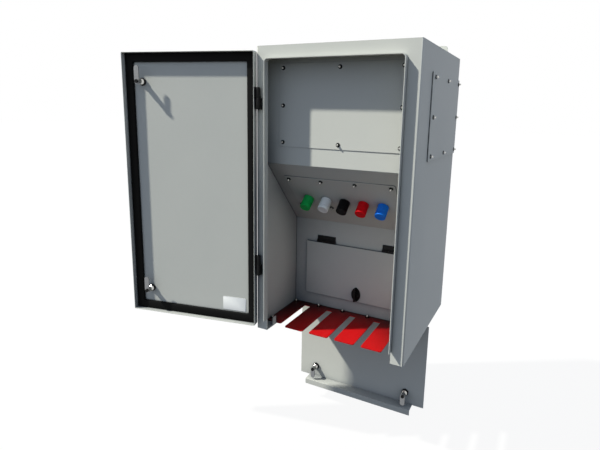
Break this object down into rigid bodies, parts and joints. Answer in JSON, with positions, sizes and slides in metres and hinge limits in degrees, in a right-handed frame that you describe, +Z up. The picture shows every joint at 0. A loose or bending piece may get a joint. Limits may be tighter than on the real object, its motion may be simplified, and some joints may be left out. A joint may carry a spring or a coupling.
{
  "type": "generator tap box",
  "caption": "Wall-hung steel cabinet with an open side-hinged door, a drop-down bottom flap, colour-coded capped cable inlets on a sloped plate and a red cable comb.",
  "frame": {"origin": "centre of the four wall bolt holes, on the wall plane", "axes": "+X to the right as seen from the front, -Y to the front, +Z up"},
  "size_m": [0.9722, 0.6344, 1.313],
  "materials": {
    "grey_paint": "light grey powder coat, fine texture",
    "black_paint": "black coated zinc casting",
    "zinc": "zinc plated",
    "gasket_rubber": "closed-cell foam",
    "red_board": "red glass-polyester board",
    "insulator": "red glass-polyester",
    "contact_brass": "turned",
    "bus_copper": "bare copper flat",
    "lug_metal": "tin plated",
    "black_plastic": "moulded",
    "green_plastic": "moulded",
    "white_plastic": "moulded",
    "red_plastic": "moulded",
    "blue_plastic": "moulded"
  },
  "bodies": {
    "cabinet": {"enclosure_wrap": "grey_paint", "roof_panel": "grey_paint", "rear_floor": "grey_paint", "wall_ears": "grey_paint", "inner_barrier": "grey_paint", "dead_front_cover": "grey_paint", "dead_front_screws": "zinc", "inlet_plate": "grey_paint", "inlet_plate_screws": "zinc", "bus_support_upper": "insulator", "bus_support_lower": "insulator", "bus_lugs": "lug_metal", "cable_comb": "red_board", "comb_screws": "zinc", "side_cover": "grey_paint", "side_cover_gasket": "gasket_rubber", "side_cover_screws": "zinc", "door_hinge_frames": "black_paint", "door_hinge_pins": "zinc", "access_hinge_frames": "black_paint", "access_hinge_pins": "zinc", "flap_hinge_frame": "zinc", "flap_hinge_pin": "zinc", "inlet_ground": "green_plastic", "cap_ground": "green_plastic", "contact_ground": "contact_brass", "bus_bar_ground": "bus_copper", "inlet_neutral": "white_plastic", "cap_neutral": "white_plastic", "contact_neutral": "contact_brass", "bus_bar_neutral": "bus_copper", "inlet_phase_a": "black_plastic", "cap_phase_a": "black_plastic", "contact_phase_a": "contact_brass", "bus_bar_phase_a": "bus_copper", "inlet_phase_b": "red_plastic", "cap_phase_b": "red_plastic", "contact_phase_b": "contact_brass", "bus_bar_phase_b": "bus_copper", "inlet_phase_c": "blue_plastic", "cap_phase_c": "blue_plastic", "contact_phase_c": "contact_brass", "bus_bar_phase_c": "bus_copper"},
    "door": {"door_tray": "grey_paint", "door_gasket": "gasket_rubber", "door_hinge_leaves": "black_paint", "door_latch_housings": "zinc"},
    "door_latch_upper": {"door_latch_upper_cam": "black_paint"},
    "door_latch_lower": {"door_latch_lower_cam": "black_paint"},
    "access_door": {"access_door": "grey_paint", "access_hinge_leaves": "black_paint", "access_latch_housing": "black_plastic"},
    "access_latch": {"access_latch_wing": "black_plastic"},
    "flap": {"bottom_flap": "grey_paint", "flap_hinge_leaf": "zinc", "flap_latch_housings": "zinc"},
    "flap_latch_left": {"flap_latch_left_cam": "black_paint"},
    "flap_latch_right": {"flap_latch_right_cam": "black_paint"}
  },
  "joints": [
    {"name": "door_hinge", "type": "hinge", "parent": "cabinet", "child": "door", "pos_m": [-0.2412, -0.5266, 0], "axis": [0, 0, 1], "range_deg": [0, 168]},
    {"name": "door_latch_upper_turn", "type": "hinge", "parent": "door", "child": "door_latch_upper", "pos_m": [-0.64672, -0.59654, 0.35], "axis": [0.2079, -0.9781, 0], "range_deg": [0, 90]},
    {"name": "door_latch_lower_turn", "type": "hinge", "parent": "door", "child": "door_latch_lower", "pos_m": [-0.64672, -0.59654, -0.363], "axis": [0.2079, -0.9781, 0], "range_deg": [0, 90]},
    {"name": "access_door_hinge", "type": "hinge", "parent": "cabinet", "child": "access_door", "pos_m": [0, -0.2592, -0.199], "axis": [-1, 0, 0], "range_deg": [0, 105]},
    {"name": "access_latch_turn", "type": "hinge", "parent": "access_door", "child": "access_latch", "pos_m": [0, -0.2624, -0.377], "axis": [0, 1, 0], "range_deg": [0, 90]},
    {"name": "flap_hinge", "type": "hinge", "parent": "cabinet", "child": "flap", "pos_m": [0, -0.189, -0.464], "axis": [-1, 0, 0], "range_deg": [0, 90]},
    {"name": "flap_latch_left_turn", "type": "hinge", "parent": "flap", "child": "flap_latch_left", "pos_m": [-0.184, -0.1955, -0.744], "axis": [0, 1, 0], "range_deg": [0, 90]},
    {"name": "flap_latch_right_turn", "type": "hinge", "parent": "flap", "child": "flap_latch_right", "pos_m": [0.184, -0.1955, -0.744], "axis": [0, -1, 0], "range_deg": [0, 90]}
  ]
}
